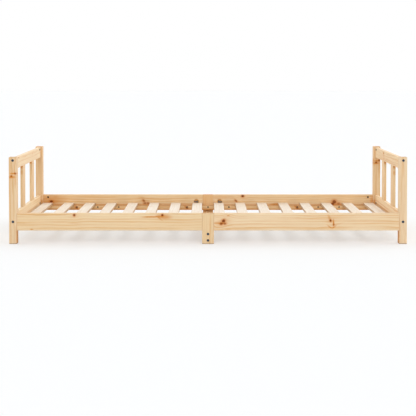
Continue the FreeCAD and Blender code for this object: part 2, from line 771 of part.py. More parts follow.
post_bolt = make_bolt("post_bolt", "post_side")
barrel_nut = make_barrel_nut()
dowel = chamfered_pin("dowel", "dowel_diameter", "dowel_length", "dowel_chamfer")
join_end_frames()
join_side_rails()
join_centre_legs()
join_ledgers_and_slats()

check_document()
os.makedirs("parts", exist_ok=True)
for node in nodes:
    node.Shape.exportStep(f"parts/{node.Label}.step")
print(f"{len(nodes)} nodes, {sum(len(node.Shape.Solids) for node in nodes)} solids")
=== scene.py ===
import math
import random

import bmesh
import bpy
from mathutils import Matrix, Vector


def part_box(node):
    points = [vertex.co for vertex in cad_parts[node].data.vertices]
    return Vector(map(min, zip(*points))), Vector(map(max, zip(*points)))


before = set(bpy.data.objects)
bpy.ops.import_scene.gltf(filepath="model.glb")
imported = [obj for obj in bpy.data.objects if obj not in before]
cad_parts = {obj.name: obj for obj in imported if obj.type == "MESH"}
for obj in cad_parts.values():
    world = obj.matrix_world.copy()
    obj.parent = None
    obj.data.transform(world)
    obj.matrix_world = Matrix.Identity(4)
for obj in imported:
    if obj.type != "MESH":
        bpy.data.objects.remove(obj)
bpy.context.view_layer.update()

# Camera, as the bed stands in the photograph
CAMERA_PLACE = (0.0, -5.620, 0.859)
CAMERA_DIP = math.radians(1.713)
CAMERA_LENS = 87.18
CAMERA_SENSOR = 36.0
CAMERA_SHIFT_UP = -0.24
CAMERA_REACH = 200.0

# Soft studio light: strength, spread and turn in degrees of each lamp
SKY_STRENGTH = 0.30
LAMPS = {
    "back_lamp": (1.45, 100.0, (-70.0, 0.0, 0.0)),
    "right_lamp": (1.46, 60.0, (0.0, 67.0, 0.0)),
    "left_lamp": (1.08, 60.0, (0.0, -67.0, 0.0)),
    "front_lamp": (1.00, 30.0, (55.0, 0.0, 0.0)),
    "low_front_lamp": (0.30, 50.0, (82.0, 0.0, 0.0)),
}

# White floor: what the camera sees of it, and the duller tone that it throws back on the bed
FLOOR_REACH = 60.0
FLOOR_SEEN = (0.973, 0.988, 1.0, 1.0)
FLOOR_THROWN = (0.90, 0.87, 0.80, 1.0)
FLOOR_OWN_WHITE = 0.35


def shade(red, green, blue):
    """A colour from its 0 to 255 screen values, as Blender's shaders take it."""
    def linear(value):
        level = value / 255.0
        if level <= 0.04045:
            return level / 12.92
        return ((level + 0.055) / 1.055) ** 2.4
    return (linear(red), linear(green), linear(blue), 1.0)


WHITE = (1.0, 1.0, 1.0, 1.0)

# Early wood and late wood of the pine, by where the timber is in the bed; the back rails, back posts, back
# leg and ledgers are more orange as painted shade, and the end slats are paler as painted light
FRONT_LEFT_PINE = (shade(237, 213, 176), shade(217, 164, 99))
FRONT_RIGHT_PINE = (shade(240, 218, 185), shade(220, 169, 108))
LEFT_POST_PINE = (shade(232, 206, 171), shade(212, 159, 96))
RIGHT_POST_PINE = (shade(236, 213, 181), shade(216, 166, 107))
# Painted shade: the back rails' pine is more orange than the front rails'
BACK_LEFT_SHADED_PINE = (shade(238, 210, 168), shade(215, 156, 88))
BACK_RIGHT_SHADED_PINE = (shade(240, 214, 174), shade(217, 160, 94))
# Painted shade: the back leg's pine is more orange for the shade under the ledger
BACK_LEG_SHADED_PINE = (shade(241, 204, 155), shade(219, 152, 78))
# Painted shade: the back posts' pine is darker and more orange
BACK_POST_SHADED_PINE = (shade(234, 203, 163), shade(212, 158, 97))
LEFT_TOP_RAIL_PINE = (shade(241, 218, 183), shade(222, 173, 112))
RIGHT_TOP_RAIL_PINE = (shade(240, 213, 174), shade(219, 166, 101))
LEFT_LOW_RAIL_PINE = (shade(243, 222, 187), shade(225, 177, 118))
RIGHT_LOW_RAIL_PINE = (shade(248, 222, 184), shade(224, 164, 96))
LEFT_SPINDLE_PINE = (shade(236, 207, 167), shade(216, 161, 99))
RIGHT_SPINDLE_PINE = (shade(240, 211, 170), shade(220, 165, 102))
# Painted shade: the ledgers' pine is more orange for the shade under the slats
LEDGER_SHADED_PINE = (shade(236, 200, 153), shade(214, 150, 86))
SLAT_PINE = (shade(242, 230, 214), shade(231, 210, 184))
# Painted light: the end slats are paler against the end rails' shadow
LEFT_END_SLAT_LIGHTENED_PINE = (shade(249, 240, 228), shade(239, 220, 197))
RIGHT_END_SLAT_LIGHTENED_PINE = (shade(248, 238, 225), shade(236, 217, 192))
DOWEL_BEECH = (shade(226, 196, 158), shade(205, 165, 122))
KNOT_HEART = shade(92, 29, 2)
KNOT_RED = shade(204, 114, 28)
# Resin's colour, also used for the painted shade lines where timbers meet
RESIN_AND_SHADE_WOOD = shade(212, 144, 70)
# Painted light inside bores and pockets
PAINTED_BORE_LIGHT = shade(250, 196, 124)
# Painted shade on the slats' side faces
SIDE_SHADE_TINT = (0.68, 0.52, 0.38, 1.0)
# Painted contact shade at the feet of posts and legs
FOOT_SHADE_TINT = (0.60, 0.56, 0.54, 1.0)


# Node helpers

NOISE_ROUGHNESS = 0.55
PLAIN_DETAIL = 1.0
SOME_DETAIL = 2.0
FINE_DETAIL = 3.0
NOISE_MIDDLE = (0.5, 0.5, 0.5)

# The colour sockets of Blender's Mix node, by their place in its lists
MIX_AMOUNT = 0
MIX_FIRST = 6
MIX_SECOND = 7
MIX_RESULT = 2


def wire(tree, kind, *sources, out=0, **options):
    """Adds a node, sets its options, sets or joins its inputs in order, and returns one output."""
    node = tree.nodes.new(kind)
    for option, value in options.items():
        setattr(node, option, value)
    for socket, source in zip(node.inputs, sources):
        if isinstance(source, bpy.types.NodeSocket):
            tree.links.new(source, socket)
        elif source is not None:
            socket.default_value = source
    return node.outputs[out]


def maths(tree, operation, *sources, clamp=False):
    """One sum on numbers."""
    return wire(tree, "ShaderNodeMath", *sources, operation=operation, use_clamp=clamp)


def vector_maths(tree, operation, *sources):
    """One sum on vectors."""
    return wire(tree, "ShaderNodeVectorMath", *sources, operation=operation)


def length_of(tree, vector):
    """The length of a vector, as a number."""
    return wire(tree, "ShaderNodeVectorMath", vector, operation="LENGTH", out="Value")


def ease(tree, value, low, high, first=0.0, last=1.0):
    """A smooth step from first at low to last at high."""
    return wire(tree, "ShaderNodeMapRange", value, low, high, first, last,
                interpolation_type="SMOOTHSTEP")


def noise(tree, place, counts, seed, detail, out="Fac"):
    """Noise with so many counts per metre along three axes; the seed gives each timber its own."""
    stretched = vector_maths(tree, "MULTIPLY", place, counts)
    return wire(tree, "ShaderNodeTexNoise", stretched, seed, 1.0, detail, NOISE_ROUGHNESS,
                noise_dimensions="4D", out=out)


def mix_colour(tree, amount, first, second, way="MIX"):
    """The first colour, with so much of the second mixed in or multiplied on."""
    node = tree.nodes.new("ShaderNodeMix")
    node.data_type = "RGBA"
    node.blend_type = way
    for place, source in ((MIX_AMOUNT, amount), (MIX_FIRST, first), (MIX_SECOND, second)):
        if isinstance(source, bpy.types.NodeSocket):
            tree.links.new(source, node.inputs[place])
        else:
            node.inputs[place].default_value = source
    return node.outputs[MIX_RESULT]


def new_group(name, takes, gives):
    """An empty node group with named sockets, what it is given and what it makes."""
    tree = bpy.data.node_groups.new(name, "ShaderNodeTree")
    for title, kind in takes.items():
        tree.interface.new_socket(name=title, in_out="INPUT", socket_type="NodeSocket" + kind)
    for title, kind in gives.items():
        tree.interface.new_socket(name=title, in_out="OUTPUT", socket_type="NodeSocket" + kind)
    return tree, tree.nodes.new("NodeGroupInput").outputs, tree.nodes.new("NodeGroupOutput").inputs


def use_group(tree, group, **values):
    """Puts a group into a tree with its inputs set or joined by name, and returns its outputs."""
    node = tree.nodes.new("ShaderNodeGroup")
    node.node_tree = group
    for title, source in values.items():
        socket = node.inputs[title]
        if isinstance(source, bpy.types.NodeSocket):
            tree.links.new(source, socket)
        else:
            socket.default_value = source
    return node.outputs


# Knots

# Where each part of a knot starts and where it is full, in radii of its heart
KNOT_CORE = (1.18, 0.52)
BARK_INSIDE = (0.70, 0.88)
BARK_OUTSIDE = (1.16, 0.94)
KNOT_RIM = (1.35, 0.95)
KNOT_GLOW = (2.7, 0.8)

# The knot's own year rings: how close they are, how deep, and the level they swing about
KNOT_YEARS = 15.0
YEAR_DEPTH = 0.14
YEAR_LEVEL = 0.86

BARK_DARKNESS = 0.6
GLOW_STRENGTH = 0.85
HALO_STRENGTH = 0.26

# How a knot's pull on the grain falls off along, across and through the timber
KNOT_FLOW = (0.17, 0.30, 0.30)


def make_knot_group():
    """One knot or streak, added to those before it: its heart, ring and halo, and the bend of the grain round
    it. A streak's tone goes into the halo, and some streaks are painted shade lines where timbers meet.
    """
    takes = {"Place": "Vector", "Fray": "Vector", "Centre": "Vector", "Turn": "Float", "Reach": "Vector",
             "Pull": "Float", "Redness": "Float", "Darkness": "Float", "Resin": "Float",
             "Heart": "Float", "Ring": "Float", "Halo": "Float", "Bend": "Vector"}
    gives = {"Heart": "Float", "Ring": "Float", "Halo": "Float", "Bend": "Vector"}
    tree, given, made = new_group("pine_knot", takes, gives)
    away = vector_maths(tree, "SUBTRACT", given["Place"], given["Centre"])
    spin = tree.nodes.new("ShaderNodeVectorRotate")
    spin.rotation_type = "Z_AXIS"
    spin.invert = True
    tree.links.new(vector_maths(tree, "ADD", away, given["Fray"]), spin.inputs["Vector"])
    tree.links.new(given["Turn"], spin.inputs["Angle"])
    scaled = vector_maths(tree, "MULTIPLY", spin.outputs[0], given["Reach"])
    distance = length_of(tree, scaled)
    flow = length_of(tree, vector_maths(tree, "MULTIPLY", scaled, KNOT_FLOW))
    fall = maths(tree, "EXPONENT", maths(tree, "MULTIPLY", maths(tree, "MULTIPLY", flow, flow), -1.0))
    years = maths(tree, "SINE", maths(tree, "MULTIPLY", distance, KNOT_YEARS))
    years = maths(tree, "MULTIPLY_ADD", years, YEAR_DEPTH, YEAR_LEVEL)
    core = maths(tree, "MULTIPLY", ease(tree, distance, *KNOT_CORE), years)
    bark = maths(tree, "MULTIPLY", ease(tree, distance, *BARK_INSIDE), ease(tree, distance, *BARK_OUTSIDE))
    heart = maths(tree, "MULTIPLY_ADD", bark, BARK_DARKNESS, core, clamp=True)
    heart = maths(tree, "MULTIPLY", heart, given["Darkness"])
    glow = maths(tree, "MULTIPLY", ease(tree, distance, *KNOT_GLOW), GLOW_STRENGTH)
    ring = maths(tree, "MAXIMUM", glow, ease(tree, distance, *KNOT_RIM))
    halo = maths(tree, "MULTIPLY", maths(tree, "MULTIPLY", fall, given["Darkness"]), HALO_STRENGTH)
    halo = maths(tree, "MULTIPLY_ADD", ring, given["Resin"], halo)
    halo = maths(tree, "ADD", halo, given["Halo"])
    ring = maths(tree, "MULTIPLY", ring, given["Redness"])
    pull = maths(tree, "MULTIPLY", fall, given["Pull"])
    pulled = wire(tree, "ShaderNodeVectorMath", away, None, None, pull, operation="SCALE")
    tree.links.new(maths(tree, "MAXIMUM", heart, given["Heart"]), made["Heart"])
    tree.links.new(maths(tree, "MAXIMUM", ring, given["Ring"]), made["Ring"])
    tree.links.new(halo, made["Halo"])
    tree.links.new(vector_maths(tree, "SUBTRACT", given["Bend"], pulled), made["Bend"])
    return tree


# Pine

# Noises in the wood: counts per metre along, across and through the timber
WANDER_COUNTS = (2.4, 5.0, 5.0)
RIPPLE_COUNTS = (7.0, 40.0, 40.0)
FADE_COUNTS = (3.0, 26.0, 26.0)
STREAK_COUNTS = (1.6, 46.0, 46.0)
CLOUD_COUNTS = (1.7, 10.0, 10.0)
FIBRE_COUNTS = (16.0, 700.0, 700.0)
CANAL_COUNTS = (45.0, 1100.0, 1100.0)

# Growth rings: how far they wander and ripple in metres, how uneven they are, and the lines in each
WANDER_DEPTH = (0.0, 0.020, 0.020)
RIPPLE_DEPTH = 0.0085
UNEVEN_COUNT = 0.43
UNEVEN_DEPTH = 1.6
BROAD_LINE = (0.38, 0.84)
FINE_LINE = (0.30, 0.80)
FINE_LINES_PER_RING = 3.0
FINE_LINE_DEPTH = 0.17

# Where a noise starts to show and shows in full, and for some how strongly at each
HALF_TONES = (0.3, 0.7)
LATE_WOOD = (0.32, 0.68, 0.08, 0.66)
DARK_STREAK = (0.50, 0.76, 0.0, 0.5)
RESIN_CANAL = (0.68, 0.76, 0.0, 0.35)
DULL_CLOUD = (0.975, 0.945, 0.90, 1.0)
BRIGHT_CLOUD = (1.02, 1.035, 1.05, 1.0)
DULL_FIBRE = (0.965, 0.955, 0.945, 1.0)
BRIGHT_FIBRE = (1.02, 1.025, 1.03, 1.0)
KNOT_REDNESS = 0.9

# Metres past the outside of the timber, below 0 within it, where a kind of surface starts and is full
END_GRAIN = (-0.0016, -0.0004)
# Painted shade on the slats' side faces starts and is full here
PAINTED_SIDE_SHADE = (-0.0016, -0.0006)
BORED_WOOD = (-0.0016, -0.0032)
EASED_EDGE = (-0.0065, -0.0005)
# Painted contact shade at the feet starts and is full here
PAINTED_FOOT_SHADE = (-0.0060, -0.0020)
END_DARKNESS = 0.5
EDGE_PALENESS = 0.6
# How much painted light the bores and pockets get
BORE_LIGHT_AMOUNT = 0.8

# Roughness and height that each part of the wood adds
ROUGH_WOOD = 0.40
ROUGH_FIBRE = 0.22
ROUGH_LATE_WOOD = -0.07
ROUGH_END = 0.18
HIGH_FIBRE = 0.55
HIGH_LATE_WOOD = 0.45
HIGH_KNOT = 0.4


def second_largest(tree, first, second, third):
    """The middle one of three numbers."""
    low = maths(tree, "MINIMUM", first, second)
    high = maths(tree, "MAXIMUM", first, second)
    return maths(tree, "MAXIMUM", low, maths(tree, "MINIMUM", high, third))


def ring_lines(tree, rings, rise, crest):
    """The dark late wood of each growth ring: it deepens from rise to crest and then ends."""
    phase = maths(tree, "FRACT", rings)
    return maths(tree, "MULTIPLY", ease(tree, phase, rise, crest), ease(tree, phase, 1.0, crest))


def make_pine_group():
    """Sawn pine: growth rings round a pith, streaks, fibres, knots, end grain and eased edges, with painted
    shade on the slats' sides and at the feet and painted light in bores.
    """
    takes = {"Place": "Vector", "Half": "Vector", "Pith": "Vector", "Lean": "Vector", "Ring Width": "Float",
             "Seed": "Float", "Sawn": "Float", "Foot": "Float", "Early": "Color", "Late": "Color",
             "Heart": "Float", "Ring": "Float", "Halo": "Float", "Bend": "Vector"}
    gives = {"Colour": "Color", "Roughness": "Float", "Height": "Float"}
    tree, given, made = new_group("sawn_pine", takes, gives)
    place = given["Place"]
    seed = given["Seed"]
    along = wire(tree, "ShaderNodeSeparateXYZ", place)
    grain = vector_maths(tree, "MULTIPLY_ADD", along, given["Lean"], place)
    grain = vector_maths(tree, "ADD", grain, given["Bend"])

    # Growth rings wander along the timber
    wander = noise(tree, grain, WANDER_COUNTS, seed, PLAIN_DETAIL, out="Color")
    wander = vector_maths(tree, "SUBTRACT", wander, NOISE_MIDDLE)
    wander = vector_maths(tree, "MULTIPLY", wander, WANDER_DEPTH)
    from_pith = vector_maths(tree, "SUBTRACT", vector_maths(tree, "ADD", grain, wander), given["Pith"])
    radius = length_of(tree, vector_maths(tree, "MULTIPLY", from_pith, (0.0, 1.0, 1.0)))
    ripple = noise(tree, grain, RIPPLE_COUNTS, seed, SOME_DETAIL)
    radius = maths(tree, "MULTIPLY_ADD", ripple, RIPPLE_DEPTH, radius)
    rings = maths(tree, "DIVIDE", radius, given["Ring Width"])
    uneven = wire(tree, "ShaderNodeTexNoise", None, maths(tree, "MULTIPLY", rings, UNEVEN_COUNT), 1.0,
                  PLAIN_DETAIL, noise_dimensions="1D")
    rings = maths(tree, "MULTIPLY_ADD", uneven, UNEVEN_DEPTH, rings)
    broad = ring_lines(tree, rings, *BROAD_LINE)
    fine = ring_lines(tree, maths(tree, "MULTIPLY", rings, FINE_LINES_PER_RING), *FINE_LINE)

    # Clear wood: ring lines that come and go, long streaks, fibres and fine resin canals
    fade = noise(tree, grain, FADE_COUNTS, seed, SOME_DETAIL)
    streak = noise(tree, grain, STREAK_COUNTS, seed, SOME_DETAIL)
    cloud = noise(tree, grain, CLOUD_COUNTS, seed, SOME_DETAIL)
    fibre = noise(tree, grain, FIBRE_COUNTS, seed, FINE_DETAIL)
    late = maths(tree, "MULTIPLY", broad, ease(tree, fade, *LATE_WOOD))
    late = maths(tree, "MULTIPLY_ADD", fine, FINE_LINE_DEPTH, late)
    colour = mix_colour(tree, late, given["Early"], given["Late"])
    colour = mix_colour(tree, ease(tree, streak, *DARK_STREAK), colour, given["Late"])
    clouds = mix_colour(tree, ease(tree, cloud, *HALF_TONES), DULL_CLOUD, BRIGHT_CLOUD)
    colour = mix_colour(tree, 1.0, colour, clouds, way="MULTIPLY")
    hairs = mix_colour(tree, ease(tree, fibre, *HALF_TONES), DULL_FIBRE, BRIGHT_FIBRE)
    colour = mix_colour(tree, 1.0, colour, hairs, way="MULTIPLY")
    canals = ease(tree, noise(tree, grain, CANAL_COUNTS, seed, PLAIN_DETAIL), *RESIN_CANAL)
    colour = mix_colour(tree, canals, colour, RESIN_AND_SHADE_WOOD)

    # Knots and streaks, some of the streaks painted shade lines where timbers meet
    halo = maths(tree, "MINIMUM", given["Halo"], 1.0)
    colour = mix_colour(tree, halo, colour, RESIN_AND_SHADE_WOOD)
    colour = mix_colour(tree, maths(tree, "MULTIPLY", given["Ring"], KNOT_REDNESS), colour, KNOT_RED)
    colour = mix_colour(tree, given["Heart"], colour, KNOT_HEART)

    # End grain is darker and eased edges are rubbed paler; the slats' sides and the feet get painted shade,
    # and bores get painted light
    past = vector_maths(tree, "SUBTRACT", vector_maths(tree, "ABSOLUTE", place), given["Half"])
    parts = tree.nodes.new("ShaderNodeSeparateXYZ")
    tree.links.new(past, parts.inputs[0])
    past_end, past_side, past_face = parts.outputs
    end = ease(tree, past_end, *END_GRAIN)
    side = ease(tree, past_side, *PAINTED_SIDE_SHADE)
    outermost = maths(tree, "MAXIMUM", past_end, past_side)
    outermost = maths(tree, "MAXIMUM", outermost, past_face)
    bored = ease(tree, outermost, *BORED_WOOD)
    worn = ease(tree, second_largest(tree, past_end, past_side, past_face), *EASED_EDGE)
    worn = maths(tree, "MULTIPLY", worn, maths(tree, "MULTIPLY", cloud, EDGE_PALENESS))
    colour = mix_colour(tree, worn, colour, given["Early"])
    end_tone = maths(tree, "MULTIPLY", end, END_DARKNESS)
    colour = mix_colour(tree, end_tone, colour, given["Late"], way="MULTIPLY")
    # Painted shade darkens the slats' side faces
    side_shade = maths(tree, "MULTIPLY", side, given["Sawn"])
    colour = mix_colour(tree, side_shade, colour, SIDE_SHADE_TINT, way="MULTIPLY")
    # Painted contact shade darkens the lowest few millimetres of standing timbers
    foot_shade = maths(tree, "MULTIPLY", ease(tree, past_end, *PAINTED_FOOT_SHADE), given["Foot"])
    foot_shade = maths(tree, "MULTIPLY", foot_shade, maths(tree, "LESS_THAN", along, 0.0))
    colour = mix_colour(tree, foot_shade, colour, FOOT_SHADE_TINT, way="MULTIPLY")
    # Painted light makes bores and pockets paler and more orange
    colour = mix_colour(tree, maths(tree, "MULTIPLY", bored, BORE_LIGHT_AMOUNT), colour, PAINTED_BORE_LIGHT)

    # Sheen and relief
    rough = maths(tree, "MULTIPLY_ADD", fibre, ROUGH_FIBRE, ROUGH_WOOD)
    rough = maths(tree, "MULTIPLY_ADD", late, ROUGH_LATE_WOOD, rough)
    rough = maths(tree, "MULTIPLY_ADD", end, ROUGH_END, rough)
    height = maths(tree, "MULTIPLY", fibre, HIGH_FIBRE)
    height = maths(tree, "MULTIPLY_ADD", late, HIGH_LATE_WOOD, height)
    height = maths(tree, "MULTIPLY_ADD", given["Heart"], HIGH_KNOT, height)
    tree.links.new(colour, made["Colour"])
    tree.links.new(rough, made["Roughness"])
    tree.links.new(height, made["Height"])
    return tree


KNOT_GROUP = make_knot_group()
PINE_GROUP = make_pine_group()

# Which way the grain, the width and the thickness of a timber run
ALONG_BED = ((1, 0, 0), (0, 0, 1), (0, -1, 0))
ACROSS_BED = ((0, 1, 0), (0, 0, 1), (1, 0, 0))
LYING_ACROSS = ((0, 1, 0), (-1, 0, 0), (0, 0, 1))
UPRIGHT = ((0, 0, 1), (1, 0, 0), (0, 1, 0))
UPRIGHT_IN_END = ((0, 0, 1), (0, 1, 0), (-1, 0, 0))

# Timber: start of the node's name, grain, distance of the pith behind the face, ring width, pine
TIMBERS = (
    ("post_front_left", UPRIGHT, 0.030, 0.0080, LEFT_POST_PINE),
    ("post_front_right", UPRIGHT, 0.030, 0.0080, RIGHT_POST_PINE),
    ("post_back", UPRIGHT, 0.030, 0.0080, BACK_POST_SHADED_PINE),
    ("side_rail_front_left", ALONG_BED, 0.050, 0.0125, FRONT_LEFT_PINE),
    ("side_rail_front_right", ALONG_BED, 0.050, 0.0125, FRONT_RIGHT_PINE),
    ("side_rail_back_left", ALONG_BED, 0.050, 0.0110, BACK_LEFT_SHADED_PINE),
    ("side_rail_back_right", ALONG_BED, 0.050, 0.0110, BACK_RIGHT_SHADED_PINE),
    ("headboard_spindle", UPRIGHT_IN_END, 0.045, 0.0085, LEFT_SPINDLE_PINE),
    ("footboard_spindle", UPRIGHT_IN_END, 0.045, 0.0085, RIGHT_SPINDLE_PINE),
    ("headboard_top_rail", ACROSS_BED, 0.050, 0.0095, LEFT_TOP_RAIL_PINE),
    ("footboard_top_rail", ACROSS_BED, 0.050, 0.0095, RIGHT_TOP_RAIL_PINE),
    ("headboard_lower_rail", ACROSS_BED, 0.050, 0.0110, LEFT_LOW_RAIL_PINE),
    ("footboard_lower_rail", ACROSS_BED, 0.050, 0.0110, RIGHT_LOW_RAIL_PINE),
    ("centre_leg_front", UPRIGHT, 0.040, 0.0085, FRONT_LEFT_PINE),
    ("centre_leg_back", UPRIGHT, 0.040, 0.0085, BACK_LEG_SHADED_PINE),
    ("centre_cross_beam", ACROSS_BED, 0.050, 0.0090, LEDGER_SHADED_PINE),
    ("slat_ledger", ALONG_BED, 0.035, 0.0080, LEDGER_SHADED_PINE),
    ("slat_01", LYING_ACROSS, 0.050, 0.0090, LEFT_END_SLAT_LIGHTENED_PINE),
    ("slat_16", LYING_ACROSS, 0.050, 0.0090, RIGHT_END_SLAT_LIGHTENED_PINE),
    ("slat", LYING_ACROSS, 0.050, 0.0090, SLAT_PINE),
)

# Places on the bed in metres, for the marks below
FRONT_FACE = -0.4275
BACK_RAIL_FACE = 0.4025
BACK_POST_FACE = 0.3865
BACK_LEDGER_FACE = 0.3825
END_RAIL_FACE = 1.0005
SPINDLE_MIDDLE = 1.0095
SPINDLE_TOP = 0.3840
FRONT_SPINDLE_EDGE = -0.1775
BACK_SPINDLE_EDGE = 0.1045
QUARTER = 90.0

